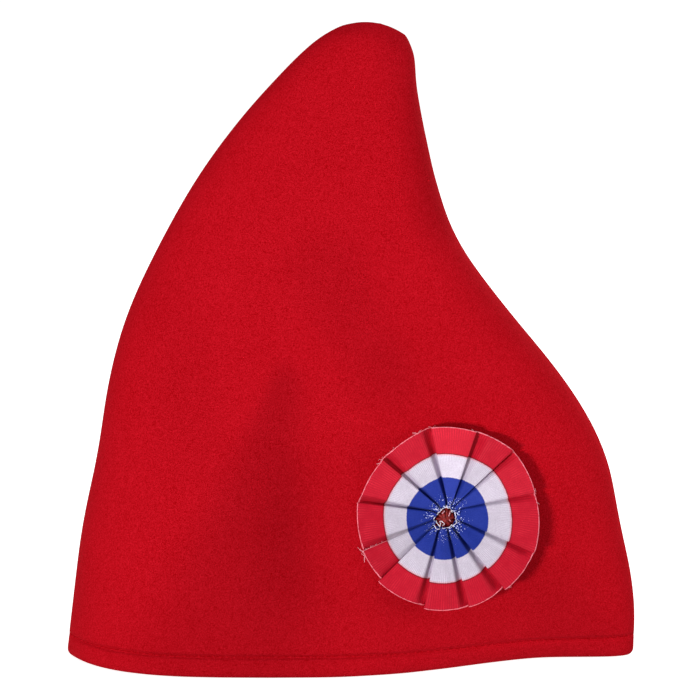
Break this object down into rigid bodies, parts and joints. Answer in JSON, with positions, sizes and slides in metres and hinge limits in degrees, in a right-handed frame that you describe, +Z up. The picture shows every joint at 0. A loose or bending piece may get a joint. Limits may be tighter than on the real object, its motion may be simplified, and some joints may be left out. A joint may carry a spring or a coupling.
{
  "type": "phrygian cap",
  "caption": "Soft felt phrygian cap with a leaning rounded tip, a stitched turned-up hem at the open rim and a pleated striped ribbon cockade sewn on its front.",
  "frame": {"origin": "middle of the bounding box, on the surface the rim stands on", "axes": "+Z up from the rim to the tip, +X the way the tip leans, -Y out of the front that carries the cockade"},
  "size_m": [0.2506, 0.0946, 0.278],
  "materials": {
    "felt": "matte red wool-like felt",
    "ribbon": "white satin-woven ribbon with a red and a blue stripe",
    "thread": "dark red sewing thread"
  },
  "bodies": {
    "root": {"front_panel": "felt", "back_panel": "felt", "cockade_ribbon": "ribbon", "tack_knot": "thread"}
  },
  "joints": []
}
